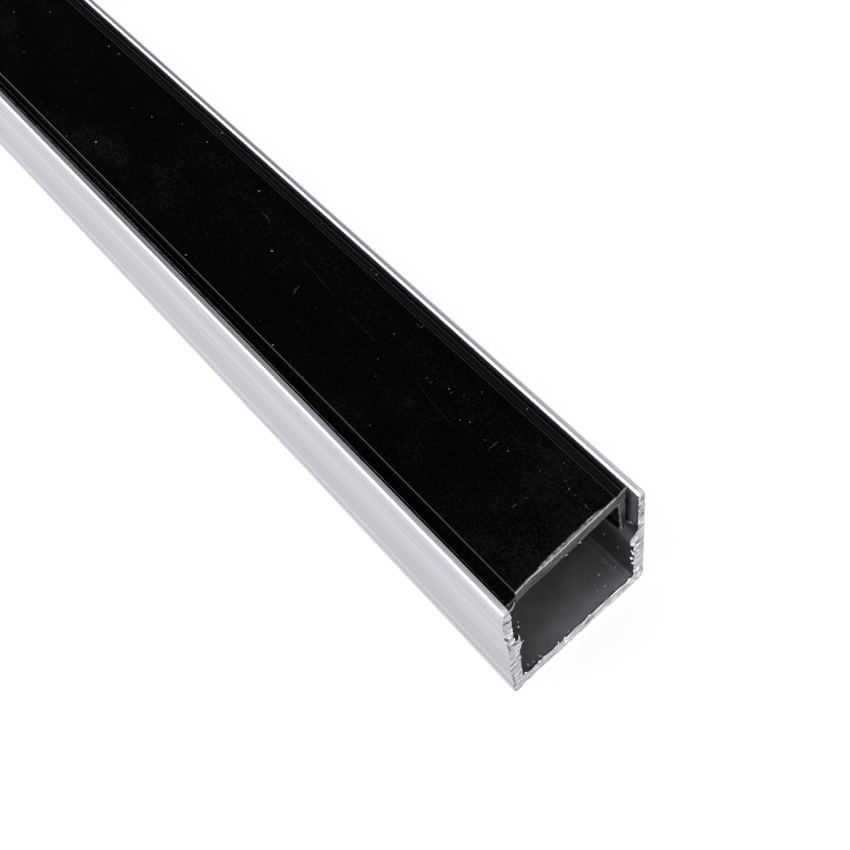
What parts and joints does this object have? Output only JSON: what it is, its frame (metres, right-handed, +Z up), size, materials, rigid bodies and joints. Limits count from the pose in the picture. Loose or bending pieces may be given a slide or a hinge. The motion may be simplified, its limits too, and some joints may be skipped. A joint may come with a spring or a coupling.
{
  "type": "aluminium channel profile with cover",
  "caption": "Straight aluminium U channel, cut from stock, with inner ribs that seat a black snap-in plastic cover and an open chamber beneath it for a light strip.",
  "frame": {"origin": "middle of the channel's base, halfway along the bar", "axes": "+X along the bar, towards the sawn end that faces the viewer in the picture; +Y across the bar; +Z up from the base to the cover"},
  "size_m": [0.5, 0.017, 0.015],
  "materials": {
    "channel": "satin extruded surface with fine lines along the bar, and rough sawn ends",
    "cover": "black, glossy, with sawn ends that have turned pale"
  },
  "bodies": {
    "root": {"channel": "channel", "cover": "cover"}
  },
  "joints": []
}
